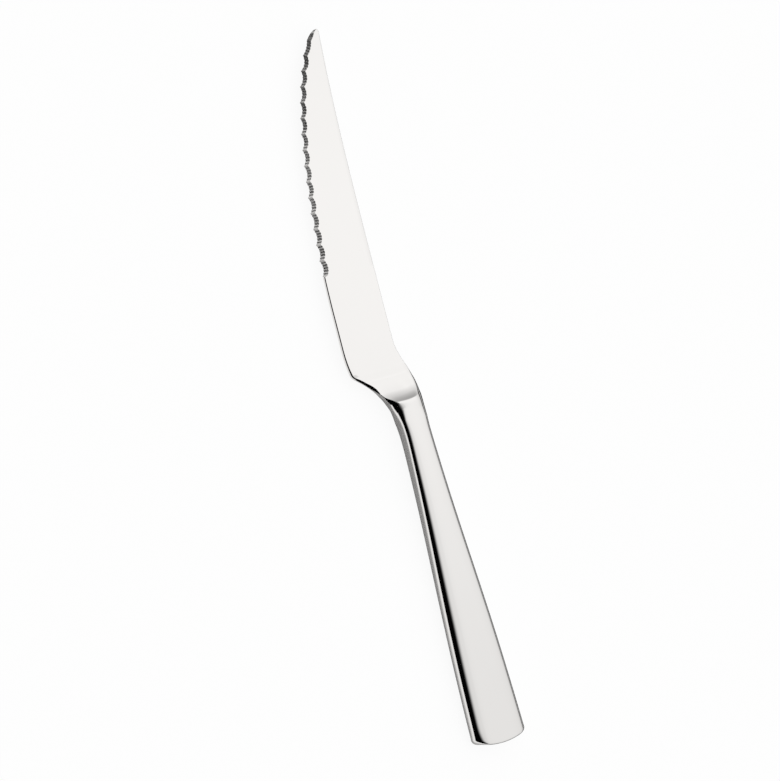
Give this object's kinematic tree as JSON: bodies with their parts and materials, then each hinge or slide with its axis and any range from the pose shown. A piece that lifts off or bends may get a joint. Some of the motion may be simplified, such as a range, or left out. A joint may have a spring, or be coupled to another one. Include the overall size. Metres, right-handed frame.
{
  "type": "steak knife",
  "caption": "Steak knife with a scalloped, finely serrated blade, a forged bolster and a square-edged hollow steel handle that widens to an arched butt.",
  "frame": {"origin": "centre of the bounding box at the level of the handle's flat back face, which is what the knife rests on", "axes": "+X towards the tip, +Y towards the cutting edge, +Z out of the front face, which is the face with the ground serration"},
  "size_m": [0.235, 0.0277, 0.0082],
  "materials": {
    "polished_blade_steel": "polished",
    "polished_handle_steel": "polished",
    "cement": "matte",
    "solder": "polished"
  },
  "bodies": {
    "root": {"blade": "polished_blade_steel", "front_handle_shell": "polished_handle_steel", "back_handle_shell": "polished_handle_steel", "handle_cement": "cement", "collar_solder": "solder", "seam_solder": "solder"}
  },
  "joints": []
}
